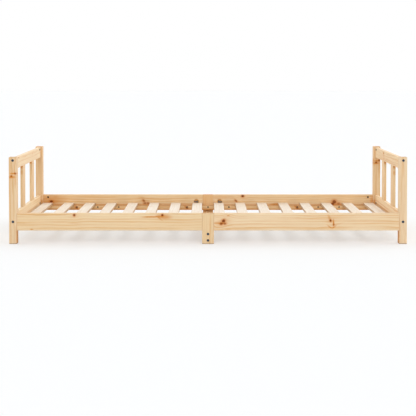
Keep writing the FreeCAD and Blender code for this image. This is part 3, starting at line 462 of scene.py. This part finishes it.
# Knots and streaks with a fixed place, most of them as the photograph shows them, and dark streaks of painted
# shade where timbers meet:
# place, radius of the heart, strength, length against width, turn in degrees
PLACED_KNOTS_AND_SHADE_LINES = {
    "side_rail_front_left": (
        ((-0.692, FRONT_FACE, 0.1506), 0.0040, 0.95, 0.85, 0.0),
        ((-0.691, FRONT_FACE, 0.107), 0.0024, 0.16, 6.0, 0.0),
        ((-0.236, FRONT_FACE, 0.1500), 0.0036, 1.00, 1.0, 0.0),
        ((-0.226, FRONT_FACE, 0.140), 0.0050, 0.62, 3.0, 0.0),
        ((-0.256, FRONT_FACE, 0.1475), 0.0026, 0.34, 1.5, 0.0),
        ((-0.295, FRONT_FACE, 0.1408), 0.0016, 1.00, 12.0, 1.0),
        ((-0.252, FRONT_FACE, 0.134), 0.0014, 0.36, 7.0, -38.0),
        ((-0.9127, FRONT_FACE, 0.0762), 0.0012, 0.95, 3.0, 0.0),
    ),
    "side_rail_front_right": (
        ((0.0805, FRONT_FACE, 0.120), 0.0046, 0.97, 1.2, 35.0),
        ((0.0695, FRONT_FACE, 0.1060), 0.0038, 0.88, 1.25, 25.0),
        ((0.0865, FRONT_FACE, 0.1065), 0.0038, 0.72, 1.2, 0.0),
        ((0.046, FRONT_FACE, 0.1085), 0.0018, 0.55, 10.0, 0.0),
        ((0.105, FRONT_FACE, 0.147), 0.0010, 0.90, 3.0, 0.0),
        ((0.105, FRONT_FACE, 0.075), 0.0024, 0.25, 2.5, 0.0),
        ((0.634, FRONT_FACE, 0.1215), 0.0034, 0.95, 0.9, 0.0),
        ((0.629, FRONT_FACE, 0.134), 0.0026, 0.50, 3.0, -65.0),
        ((0.6505, FRONT_FACE, 0.1005), 0.0032, 0.66, 0.8, 0.0),
        ((0.6495, FRONT_FACE, 0.110), 0.0015, 0.90, 5.0, QUARTER),
        ((0.628, FRONT_FACE, 0.0905), 0.0013, 0.55, 5.0, -38.0),
        ((0.642, FRONT_FACE, 0.0855), 0.0013, 0.55, 5.0, 0.0),
        ((0.654, FRONT_FACE, 0.0890), 0.0013, 0.55, 4.5, 38.0),
        ((0.668, FRONT_FACE, 0.1035), 0.0016, 0.24, 9.0, 12.0),
    ),
    "side_rail_back_left": (
        ((-0.939, BACK_RAIL_FACE, 0.119), 0.0045, 1.00, 1.4, 0.0),
        ((-0.950, BACK_RAIL_FACE, 0.137), 0.0130, 0.42, 3.2, 0.0),
        # Painted shade: a dark line low on the back rail, just above the ledger
        ((-0.510, BACK_RAIL_FACE, 0.1010), 0.0011, 0.50, 350.0, 0.0),
        ((-0.913, BACK_RAIL_FACE, 0.148), 0.0034, 0.20, 1.5, 0.0),
        ((-0.386, BACK_RAIL_FACE, 0.124), 0.0036, 0.72, 1.6, -50.0),
        ((-0.378, BACK_RAIL_FACE, 0.109), 0.0034, 0.66, 1.6, 0.0),
        ((-0.360, BACK_RAIL_FACE, 0.108), 0.0034, 0.68, 1.3, -20.0),
    ),
    "side_rail_back_right": (
        ((0.075, BACK_RAIL_FACE, 0.145), 0.0060, 0.36, 4.5, 0.0),
        ((0.208, BACK_RAIL_FACE, 0.152), 0.0044, 1.00, 1.1, 0.0),
        ((0.167, BACK_RAIL_FACE, 0.123), 0.0030, 0.75, 1.8, -45.0),
        ((0.407, BACK_RAIL_FACE, 0.104), 0.0028, 0.65, 4.5, 3.0),
        ((0.757, BACK_RAIL_FACE, 0.117), 0.0066, 0.88, 1.1, 0.0),
        ((0.748, BACK_RAIL_FACE, 0.105), 0.0044, 0.88, 1.3, 0.0),
        # Painted shade: a dark line low on the back rail, just above the ledger
        ((0.510, BACK_RAIL_FACE, 0.1010), 0.0011, 0.50, 350.0, 0.0),
        ((0.783, BACK_RAIL_FACE, 0.106), 0.0042, 0.60, 1.2, 0.0),
        # Painted shade in the corner where the back rail meets the post
        ((0.984, BACK_RAIL_FACE, 0.110), 0.0050, 0.65, 3.0, QUARTER),
    ),
    "post_front_left": (
        ((-0.9965, FRONT_FACE, 0.3655), 0.0023, 0.88, 1.2, QUARTER),
        ((-1.0060, FRONT_FACE, 0.3660), 0.0014, 0.90, 5.0, QUARTER),
        ((-1.0170, FRONT_FACE, 0.3520), 0.0023, 0.88, 1.2, 0.0),
        ((-1.0150, FRONT_FACE, 0.3470), 0.0024, 0.85, 3.2, QUARTER),
        ((-1.0005, FRONT_FACE, 0.395), 0.0012, 0.45, 14.0, 0.0),
        ((-0.9970, FRONT_FACE, 0.325), 0.0012, 0.45, 12.0, 0.0),
        # Painted shade up the post's inner edge near the floor
        ((-0.9890, FRONT_FACE, 0.035), 0.0016, 0.85, 20.0, 0.0),
    ),
    "post_front_right": (
        # Painted shade up the post's inner edge near the floor
        ((0.9890, FRONT_FACE, 0.035), 0.0010, 0.85, 32.0, 0.0),
    ),
    "post_back_left": (
        # Painted shade where the back post meets the rails
        ((-0.9945, BACK_POST_FACE, 0.120), 0.0046, 0.70, 6.0, QUARTER),
    ),
    "post_back_right": (
        # Painted shade where the back post meets the rails
        ((0.9945, BACK_POST_FACE, 0.120), 0.0046, 0.70, 6.0, QUARTER),
        ((1.0228, BACK_POST_FACE, 0.3685), 0.0029, 0.95, 1.1, 0.0),
        ((1.0110, BACK_POST_FACE, 0.3650), 0.0018, 0.80, 4.0, QUARTER),
        ((1.0045, BACK_POST_FACE, 0.3545), 0.0029, 0.88, 1.3, QUARTER),
        ((1.0030, BACK_POST_FACE, 0.3490), 0.0018, 0.75, 3.4, QUARTER),
        ((0.9900, BACK_POST_FACE, 0.360), 0.0016, 0.60, 6.0, 0.0),
        ((1.0228, BACK_POST_FACE, 0.325), 0.0016, 0.55, 14.0, 0.0),
    ),
    "headboard_spindle_front": (
        # Painted shade at the spindle's top, under the top rail
        ((-SPINDLE_MIDDLE, FRONT_SPINDLE_EDGE, SPINDLE_TOP), 0.0018, 1.00, 3.0, 0.0),
        ((-1.0045, FRONT_SPINDLE_EDGE, 0.3480), 0.0015, 0.45, 3.0, 0.0),
    ),
    "headboard_spindle_back": (
        # Painted shade at the spindle's top, under the top rail
        ((-SPINDLE_MIDDLE, BACK_SPINDLE_EDGE, SPINDLE_TOP), 0.0018, 1.00, 3.0, 0.0),
    ),
    "footboard_spindle_front": (
        # Painted shade at the spindle's top, under the top rail
        ((SPINDLE_MIDDLE, FRONT_SPINDLE_EDGE, SPINDLE_TOP), 0.0018, 1.00, 3.0, 0.0),
        ((1.0025, FRONT_SPINDLE_EDGE, 0.3445), 0.0015, 0.55, 3.0, 0.0),
    ),
    "footboard_spindle_back": (
        # Painted shade at the spindle's top, under the top rail
        ((SPINDLE_MIDDLE, BACK_SPINDLE_EDGE, SPINDLE_TOP), 0.0020, 1.00, 3.0, 0.0),
    ),
    "headboard_lower_rail": (
        # Painted shade: a dark line along the lower rail just above the slats
        ((-END_RAIL_FACE, 0.000, 0.1130), 0.0024, 0.40, 110.0, 0.0),
        ((-END_RAIL_FACE, -0.170, 0.0880), 0.0038, 0.85, 1.3, 0.0),
    ),
    "footboard_lower_rail": (
        # Painted shade: a dark line along the lower rail just above the slats
        ((END_RAIL_FACE, 0.000, 0.1130), 0.0025, 0.55, 110.0, 0.0),
        # Painted shade: a second, fainter dark line above it
        ((END_RAIL_FACE, 0.100, 0.1310), 0.0014, 0.40, 90.0, 0.0),
        ((END_RAIL_FACE, 0.190, 0.0860), 0.0038, 0.85, 1.3, 0.0),
    ),
    "footboard_top_rail": (
        ((END_RAIL_FACE, 0.1130, 0.4305), 0.0024, 1.00, 3.2, 0.0),
        ((END_RAIL_FACE, 0.1000, 0.4120), 0.0048, 0.40, 3.0, QUARTER),
    ),
    "headboard_top_rail": (
        ((-END_RAIL_FACE, 0.111, 0.430), 0.0030, 0.28, 1.4, 0.0),
        ((-END_RAIL_FACE, -0.304, 0.4385), 0.0018, 0.90, 3.0, 0.0),
    ),
}

# The back ledger strips are cut alike, with the same knot at the same distance from the middle
LEDGER_KNOT_ALONG = -0.127
LEDGER_KNOT_HEIGHT = 0.0835
LEDGER_STREAK_ALONG = -0.140
LEDGER_STREAK_HEIGHT = 0.0945
# Painted shade: height of the dark line along the ledger's lower edge
LEDGER_SHADE_LINE_HEIGHT = 0.0730


def ledger_knots(middle):
    """A back ledger strip's knot, the streak beside it and a painted shade line along its lower edge."""
    knot_place = (middle.x + LEDGER_KNOT_ALONG, BACK_LEDGER_FACE, LEDGER_KNOT_HEIGHT)
    streak_place = (middle.x + LEDGER_STREAK_ALONG, BACK_LEDGER_FACE, LEDGER_STREAK_HEIGHT)
    shade_line_place = (middle.x, BACK_LEDGER_FACE, LEDGER_SHADE_LINE_HEIGHT)
    return (
        (knot_place, 0.0036, 0.72, 1.7, -50.0),
        (streak_place, 0.0020, 0.50, 3.0, -40.0),
        # Painted shade along the ledger's lower edge
        (shade_line_place, 0.0022, 1.00, 160.0, 0.0),
    )


# Knots of no fixed place: how many at least, where in the timber's half size, and how they differ
KNOTTY_TIMBERS = ("centre_cross_beam", "slat_")
SLAT_TIMBERS = "slat_"
SLAT_KNOTS_DARKEST = 0.25
BEAM_KNOTS_DARKEST = 0.55
KNOTS_AT_LEAST = (1, 2)
KNOTS_ALONG = (-0.92, 0.92)
KNOTS_ACROSS = (-0.8, 0.8)
KNOT_RADII = (0.0020, 0.0042)
KNOT_STRENGTHS = (0.3, 1.0)
KNOT_STRETCHES = (1.1, 2.4)


def scattered_knots(draw, middle, half, axes, darkest):
    """Small knots of no fixed place, with one more for each whole metre of the timber."""
    knots = []
    metres = int(half.x * 2.0)
    for _ in range(draw.randint(*KNOTS_AT_LEAST) + metres):
        along = draw.uniform(*KNOTS_ALONG) * half.x
        across = draw.uniform(*KNOTS_ACROSS) * half.y
        place = middle + axes.transposed() @ Vector((along, across, 0.0))
        radius = draw.uniform(*KNOT_RADII)
        strength = draw.uniform(*KNOT_STRENGTHS) * darkest
        stretch = draw.uniform(*KNOT_STRETCHES)
        knots.append((tuple(place), radius, strength, stretch, 0.0))
    return knots


def knots_of(name, draw, middle, half, axes):
    """The knots and streaks of one timber, some of them painted shade lines: placed ones, those of a back
    ledger strip, or scattered ones.
    """
    if name in PLACED_KNOTS_AND_SHADE_LINES:
        return PLACED_KNOTS_AND_SHADE_LINES[name]
    if name.startswith("slat_ledger_back"):
        return ledger_knots(middle)
    if name.startswith(KNOTTY_TIMBERS):
        darkest = SLAT_KNOTS_DARKEST if name.startswith(SLAT_TIMBERS) else BEAM_KNOTS_DARKEST
        return scattered_knots(draw, middle, half, axes, darkest)
    return ()


def sawn_from(name):
    """The grain, pith distance, ring width and pine of a timber."""
    return next(row[1:] for row in TIMBERS if name.startswith(row[0]))


# Knots are drawn a little wider than their listed radius, and reach so many metres through the timber
KNOT_SPREAD = 1.4
KNOT_THROUGH = 0.12
KNOT_PULL = 0.75
HEART_DARKNESS = 1.7
FRAY_COUNTS = (140.0, 140.0, 140.0)
FRAY_DEPTH = 0.0035

# A mark at least this much longer than wide is a streak, not a knot; where timbers meet, such streaks are
# painted shade lines
STREAK_LENGTH = 3.0


def add_knots(tree, place, seed, marks, axes, middle):
    """Chains a timber's knots one after another, and returns what they do to its wood together."""
    fray = noise(tree, place, FRAY_COUNTS, seed, SOME_DETAIL, out="Color")
    fray = vector_maths(tree, "SUBTRACT", fray, NOISE_MIDDLE)
    fray = wire(tree, "ShaderNodeVectorMath", fray, None, None, FRAY_DEPTH, operation="SCALE")
    knots = {"Heart": 0.0, "Ring": 0.0, "Halo": 0.0, "Bend": (0.0, 0.0, 0.0)}
    for point, heart_radius, strength, stretch, turn in marks:
        radius = heart_radius * KNOT_SPREAD
        reach = (1.0 / (radius * stretch), 1.0 / radius, 1.0 / KNOT_THROUGH)
        darkness = max(0.0, HEART_DARKNESS * (strength - 1.0) + 1.0)
        redness = strength
        resin_and_shade = 0.0
        if stretch >= STREAK_LENGTH:
            darkness = 0.0
            redness = 0.0
            resin_and_shade = strength
        knot = use_group(tree, KNOT_GROUP, Place=place, Fray=fray, Centre=axes @ (Vector(point) - middle),
                         Turn=math.radians(turn), Reach=reach, Pull=KNOT_PULL * darkness,
                         Redness=redness, Darkness=darkness, Resin=resin_and_shade, **knots)
        knots = {title: knot[title] for title in knots}
    return knots


# How timbers differ: pith beside the timber in half widths, lean of the grain, seed and tone
EITHER_SIDE = (-1.0, 1.0)
PITH_ASIDE = (1.15, 1.75)
GRAIN_LEAN = (-0.006, 0.006)
SEEDS = (0.0, 50.0)
TONES = (0.985, 1.0)

STANDING_TIMBERS = ("post_", "centre_leg")
PINE_RELIEF = 0.25
PINE_RELIEF_DEPTH = 0.0006
PINE_SHEEN = 0.15


def pine(name):
    """The material of one timber, with its own rings, tone and knots."""
    grain, pith_far, ring_width, (early, late) = sawn_from(name)
    draw = random.Random(name)
    axes = Matrix(grain)
    low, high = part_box(name)
    middle = (low + high) / 2
    half = Vector([abs(size) for size in axes @ ((high - low) / 2)])
    pith_aside = draw.choice(EITHER_SIDE) * draw.uniform(*PITH_ASIDE) * half.y
    pith_behind = draw.choice(EITHER_SIDE) * (pith_far + half.z)
    lean = (0.0, draw.uniform(*GRAIN_LEAN), draw.uniform(*GRAIN_LEAN))
    seed = draw.uniform(*SEEDS)
    tone = draw.uniform(*TONES)
    early = tuple(level * tone for level in early[:3]) + (1.0,)

    material = bpy.data.materials.new(name + "_pine")
    material.use_nodes = True
    tree = material.node_tree
    shader = tree.nodes["Principled BSDF"]
    there = wire(tree, "ShaderNodeTexCoord", out="Object")
    place = wire(tree, "ShaderNodeMapping", there, tuple(-(axes @ middle)), tuple(axes.to_euler()))
    knots = add_knots(tree, place, seed, knots_of(name, draw, middle, half, axes), axes, middle)
    wood = use_group(tree, PINE_GROUP, Place=place, Half=half, Pith=(0.0, pith_aside, pith_behind), Lean=lean,
                     Seed=seed, Early=early, Late=late, **knots, **{"Ring Width": ring_width},
                     Sawn=1.0 if name.startswith(SLAT_TIMBERS) else 0.0,
                     Foot=1.0 if name.startswith(STANDING_TIMBERS) else 0.0)
    tree.links.new(wood["Colour"], shader.inputs["Base Color"])
    tree.links.new(wood["Roughness"], shader.inputs["Roughness"])
    relief = wire(tree, "ShaderNodeBump", PINE_RELIEF, PINE_RELIEF_DEPTH)
    tree.links.new(wood["Height"], relief.node.inputs["Height"])
    tree.links.new(relief, shader.inputs["Normal"])
    shader.inputs["Specular IOR Level"].default_value = PINE_SHEEN
    return material


# Steel

MOTTLE_COUNTS = (260.0, 260.0, 260.0)
MOTTLE_SEED = 3.0
MOTTLE_ROUGHNESS = 0.25
SCRATCH_COUNTS = (1500.0, 300.0, 900.0)
SCRATCH_SEED = 8.0
RUBBED_MOTTLE = (0.5, 0.75)
RUBBED_SCRATCH = (0.45, 0.7)
STEEL_RELIEF = 0.1
STEEL_RELIEF_DEPTH = 0.0002
STEEL_METALLIC = 0.7


def steel(name, colour, rubbed_colour, roughness):
    """Plated steel with a mottled finish and rubbed spots."""
    material = bpy.data.materials.new(name)
    material.use_nodes = True
    tree = material.node_tree
    shader = tree.nodes["Principled BSDF"]
    place = wire(tree, "ShaderNodeTexCoord", out="Object")
    mottle = noise(tree, place, MOTTLE_COUNTS, MOTTLE_SEED, FINE_DETAIL)
    scratch = noise(tree, place, SCRATCH_COUNTS, SCRATCH_SEED, SOME_DETAIL)
    rubbed = maths(tree, "MULTIPLY", ease(tree, mottle, *RUBBED_MOTTLE), ease(tree, scratch, *RUBBED_SCRATCH))
    tree.links.new(mix_colour(tree, rubbed, colour, rubbed_colour), shader.inputs["Base Color"])
    rough = maths(tree, "MULTIPLY_ADD", mottle, MOTTLE_ROUGHNESS, roughness)
    tree.links.new(rough, shader.inputs["Roughness"])
    relief = wire(tree, "ShaderNodeBump", STEEL_RELIEF, STEEL_RELIEF_DEPTH)
    tree.links.new(scratch, relief.node.inputs["Height"])
    tree.links.new(relief, shader.inputs["Normal"])
    shader.inputs["Metallic"].default_value = STEEL_METALLIC
    return material


BLUED_STEEL = steel("blued_bolt_steel", shade(57, 67, 81), shade(106, 114, 124), 0.34)
NUT_STEEL = steel("barrel_nut_steel", shade(14, 14, 16), shade(40, 39, 39), 0.45)
SCREW_STEEL = steel("screw_steel", shade(28, 31, 36), shade(64, 68, 74), 0.38)
# Zinc's grey, darkened and browned with painted shade and a painted reflection of the wood around the tie
# rods
SHADED_ZINC_STEEL = steel("zinc_plated_steel", shade(126, 114, 102), shade(176, 166, 154), 0.34)
YELLOW_ZINC = steel("yellow_zinc_steel", shade(206, 158, 96), shade(226, 190, 136), 0.4)
STEEL_NODES = {
    "end_rail_bolts": BLUED_STEEL,
    "side_rail_bolts": BLUED_STEEL,
    "centre_leg_bolts": BLUED_STEEL,
    "end_rail_barrel_nuts": NUT_STEEL,
    "side_rail_barrel_nuts": NUT_STEEL,
    "cross_beam_barrel_nuts": NUT_STEEL,
    "centre_tie_rods": SHADED_ZINC_STEEL,
    "half_moon_washers": YELLOW_ZINC,
    "tie_rod_nuts": SHADED_ZINC_STEEL,
    "ledger_screws": SCREW_STEEL,
}


DOWEL_COUNTS = (500.0, 500.0, 500.0)
DOWEL_SEED = 5.0
DOWEL_ROUGHNESS = 0.5
DOWEL_ROUGH_GRAIN = 0.2


def dowel_wood():
    """Turned hardwood of the hidden dowels and pegs."""
    material = bpy.data.materials.new("dowel_wood")
    material.use_nodes = True
    tree = material.node_tree
    shader = tree.nodes["Principled BSDF"]
    place = wire(tree, "ShaderNodeTexCoord", out="Object")
    grain = noise(tree, place, DOWEL_COUNTS, DOWEL_SEED, FINE_DETAIL)
    tree.links.new(mix_colour(tree, grain, *DOWEL_BEECH), shader.inputs["Base Color"])
    rough = maths(tree, "MULTIPLY_ADD", grain, DOWEL_ROUGH_GRAIN, DOWEL_ROUGHNESS)
    tree.links.new(rough, shader.inputs["Roughness"])
    return material


DOWEL_WOOD = dowel_wood()


def dress(obj, material):
    """Gives a piece one material."""
    obj.data.materials.clear()
    obj.data.materials.append(material)


for node_name, node_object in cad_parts.items():
    if node_name in STEEL_NODES:
        dress(node_object, STEEL_NODES[node_name])
    elif node_name.endswith(("dowels", "pegs")):
        dress(node_object, DOWEL_WOOD)
    else:
        dress(node_object, pine(node_name))


# Floor, sky, lamps and camera

def seen_directly(tree):
    """1 for rays from the camera, from gloss and through glass, 0 for the rest."""
    rays = tree.nodes.new("ShaderNodeLightPath")
    camera_or_gloss = maths(tree, "MAXIMUM", rays.outputs["Is Camera Ray"], rays.outputs["Is Glossy Ray"])
    return maths(tree, "MAXIMUM", camera_or_gloss, rays.outputs["Is Transmission Ray"])


def make_floor():
    """A wide white floor under the bed, which keeps the bed's shadow."""
    mesh = bpy.data.meshes.new("floor")
    shape = bmesh.new()
    bmesh.ops.create_grid(shape, x_segments=1, y_segments=1, size=FLOOR_REACH)
    shape.to_mesh(mesh)
    shape.free()
    floor = bpy.data.objects.new("floor", mesh)
    bpy.context.scene.collection.objects.link(floor)
    material = bpy.data.materials.new("white_floor")
    material.use_nodes = True
    tree = material.node_tree
    tree.nodes.clear()
    white = wire(tree, "ShaderNodeEmission", WHITE, 1.0)
    lit = wire(tree, "ShaderNodeBsdfDiffuse", FLOOR_SEEN)
    seen = wire(tree, "ShaderNodeMixShader", FLOOR_OWN_WHITE, lit, white)
    thrown = wire(tree, "ShaderNodeBsdfDiffuse", FLOOR_THROWN)
    surface = wire(tree, "ShaderNodeMixShader", seen_directly(tree), thrown, seen)
    output = tree.nodes.new("ShaderNodeOutputMaterial")
    tree.links.new(surface, output.inputs["Surface"])
    mesh.materials.append(material)


def make_sky():
    """A world that looks white and lights the bed softly."""
    world = bpy.data.worlds.new("sky")
    world.use_nodes = True
    tree = world.node_tree
    tree.nodes.clear()
    strength = wire(tree, "ShaderNodeMapRange", seen_directly(tree), 0.0, 1.0, SKY_STRENGTH, 1.0)
    sky = wire(tree, "ShaderNodeBackground", WHITE, strength)
    output = tree.nodes.new("ShaderNodeOutputWorld")
    tree.links.new(sky, output.inputs["Surface"])
    bpy.context.scene.world = world


def make_lamp(name, strength, spread, turn):
    """One wide, soft lamp, far away."""
    lamp = bpy.data.lights.new(name, "SUN")
    lamp.energy = strength
    lamp.angle = math.radians(spread)
    holder = bpy.data.objects.new(name, lamp)
    holder.rotation_euler = [math.radians(angle) for angle in turn]
    bpy.context.scene.collection.objects.link(holder)


def make_camera():
    """The photograph's point of view."""
    lens = bpy.data.cameras.new("camera")
    lens.lens = CAMERA_LENS
    lens.sensor_width = CAMERA_SENSOR
    lens.shift_y = CAMERA_SHIFT_UP
    lens.clip_end = CAMERA_REACH
    camera = bpy.data.objects.new("camera", lens)
    camera.location = CAMERA_PLACE
    camera.rotation_euler = (math.pi / 2 - CAMERA_DIP, 0.0, 0.0)
    bpy.context.scene.collection.objects.link(camera)
    bpy.context.scene.camera = camera


make_floor()
make_sky()
for lamp_name, lamp_setting in LAMPS.items():
    make_lamp(lamp_name, *lamp_setting)
make_camera()
bpy.context.scene.view_settings.view_transform = "Standard"
